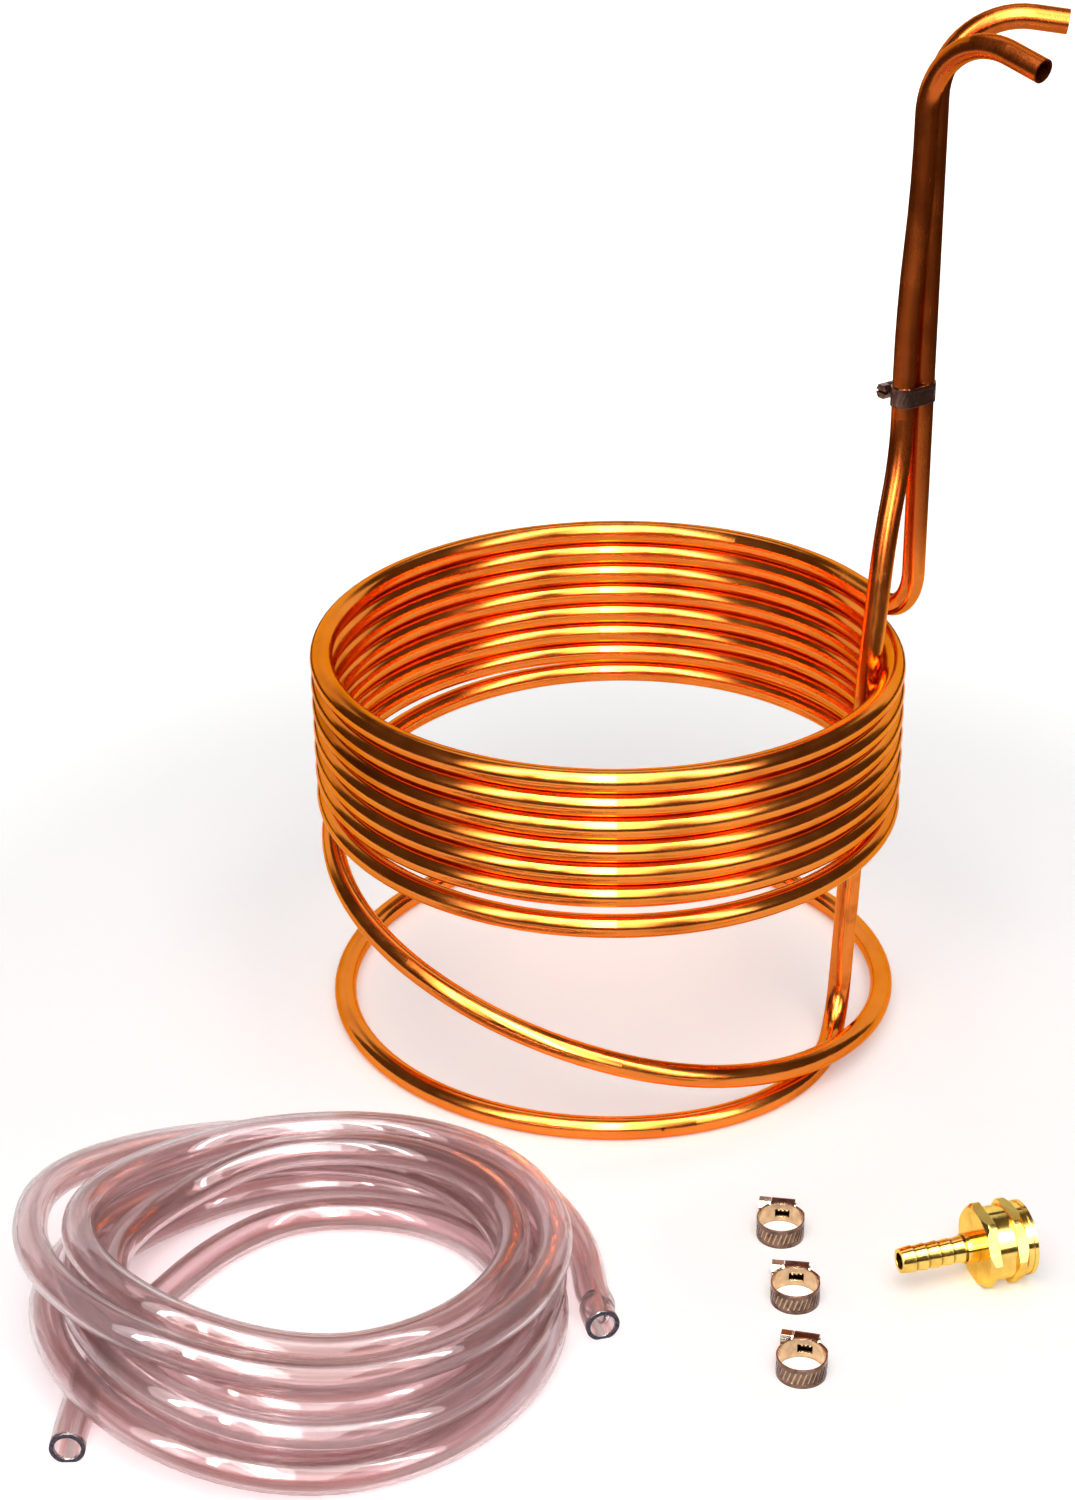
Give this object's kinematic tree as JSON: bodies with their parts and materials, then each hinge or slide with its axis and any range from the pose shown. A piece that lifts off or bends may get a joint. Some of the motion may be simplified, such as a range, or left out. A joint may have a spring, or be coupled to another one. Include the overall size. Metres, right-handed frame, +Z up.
{
  "type": "immersion wort chiller",
  "caption": "Coiled copper immersion wort chiller with twin hooked risers, worm clamps, clear hose and a brass tap fitting.",
  "frame": {"origin": "on the floor, on the axis of the winding", "axes": "+Z up along the winding's axis, -Y towards the front, the risers at +X"},
  "size_m": [0.4009, 0.4584, 0.4267],
  "materials": {
    "copper": "polished copper",
    "band_steel": "satin stainless",
    "plate_steel": "satin stainless",
    "screw_steel": "bright plated",
    "vinyl": "clear glossy vinyl",
    "brass": "polished",
    "washer_rubber": "matt"
  },
  "bodies": {
    "chiller": {"copper_tube": "copper", "riser_clamp_band": "band_steel", "riser_clamp_saddle": "plate_steel", "riser_clamp_housing": "band_steel"},
    "riser_screw": {"riser_clamp_screw": "screw_steel"},
    "clamp_1": {"hose_clamp_1_band": "band_steel", "hose_clamp_1_saddle": "plate_steel", "hose_clamp_1_housing": "band_steel"},
    "clamp_1_screw": {"hose_clamp_1_screw": "screw_steel"},
    "clamp_2": {"hose_clamp_2_band": "band_steel", "hose_clamp_2_saddle": "plate_steel", "hose_clamp_2_housing": "band_steel"},
    "clamp_2_screw": {"hose_clamp_2_screw": "screw_steel"},
    "clamp_3": {"hose_clamp_3_band": "band_steel", "hose_clamp_3_saddle": "plate_steel", "hose_clamp_3_housing": "band_steel"},
    "clamp_3_screw": {"hose_clamp_3_screw": "screw_steel"},
    "hose": {"vinyl_hose": "vinyl"},
    "fitting": {"barb_stem": "brass", "hose_washer": "washer_rubber"},
    "nut": {"swivel_nut": "brass"}
  },
  "joints": [
    {"name": "riser_clamp_screw_turn", "type": "hinge", "parent": "chiller", "child": "riser_screw", "pos_m": [0.11889, 0.01595, 0.272], "axis": [0.8241, 0.5664, 0], "continuous": true},
    {"name": "hose_clamp_1_lift_off", "type": "slide", "parent": "chiller", "child": "clamp_1", "axis": [0, 0, 1], "range_m": [0, 0.08]},
    {"name": "hose_clamp_1_screw_turn", "type": "hinge", "parent": "clamp_1", "child": "clamp_1_screw", "pos_m": [0.06292, -0.17199, 0.004], "axis": [0.9848, -0.1736, 0], "continuous": true},
    {"name": "hose_clamp_2_lift_off", "type": "slide", "parent": "chiller", "child": "clamp_2", "axis": [0, 0, 1], "range_m": [0, 0.08]},
    {"name": "hose_clamp_2_screw_turn", "type": "hinge", "parent": "clamp_2", "child": "clamp_2_screw", "pos_m": [0.06458, -0.21213, 0.004], "axis": [0.9903, -0.1392, 0], "continuous": true},
    {"name": "hose_clamp_3_lift_off", "type": "slide", "parent": "chiller", "child": "clamp_3", "axis": [0, 0, 1], "range_m": [0, 0.08]},
    {"name": "hose_clamp_3_screw_turn", "type": "hinge", "parent": "clamp_3", "child": "clamp_3_screw", "pos_m": [0.0644, -0.25438, 0.004], "axis": [0.9703, -0.2419, 0], "continuous": true},
    {"name": "hose_lift_off", "type": "slide", "parent": "chiller", "child": "hose", "axis": [0, 0, 1], "range_m": [0, 0.15]},
    {"name": "fitting_lift_off", "type": "slide", "parent": "chiller", "child": "fitting", "axis": [0, 0, 1], "range_m": [0, 0.08]},
    {"name": "swivel_nut_turn", "type": "hinge", "parent": "fitting", "child": "nut", "pos_m": [0.13207, -0.21263, 0.01425], "axis": [0.9613, 0.2756, 0], "continuous": true}
  ]
}
